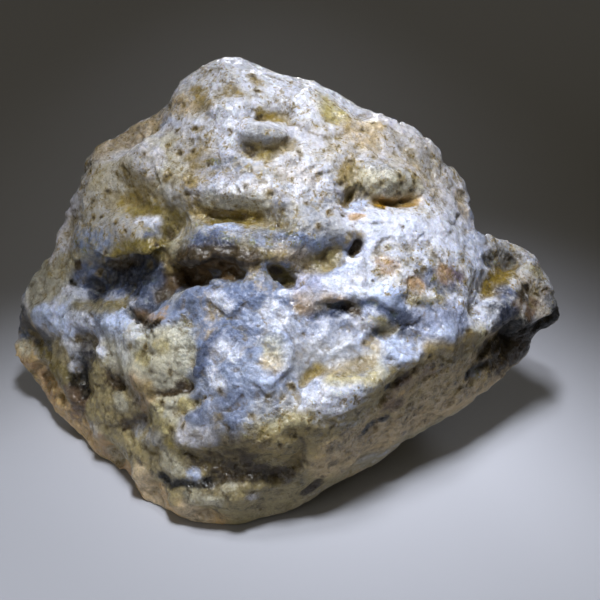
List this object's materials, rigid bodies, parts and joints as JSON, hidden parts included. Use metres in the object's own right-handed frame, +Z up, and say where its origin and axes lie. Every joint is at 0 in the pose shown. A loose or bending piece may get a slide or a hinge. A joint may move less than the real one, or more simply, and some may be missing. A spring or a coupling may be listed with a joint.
{
  "type": "ventifact",
  "caption": "Hand-sized wind-worn lump of pale chalcedony: pitted and ledged sloping face, sharp lip over a brown undercut side, tapered horn at one end, small flat spot beneath.",
  "frame": {"origin": "middle of the bounding box's underside, at the level of the surface the stone stands on", "axes": "+X along the longest side, towards the tapered horn; +Y away from the pitted sloping face, towards the steep back; +Z up from the flat spot"},
  "size_m": [0.0858, 0.0626, 0.0534],
  "materials": {
    "stone": "waxy, half-gloss, mottled"
  },
  "bodies": {
    "root": {"stone": "stone"}
  },
  "joints": []
}
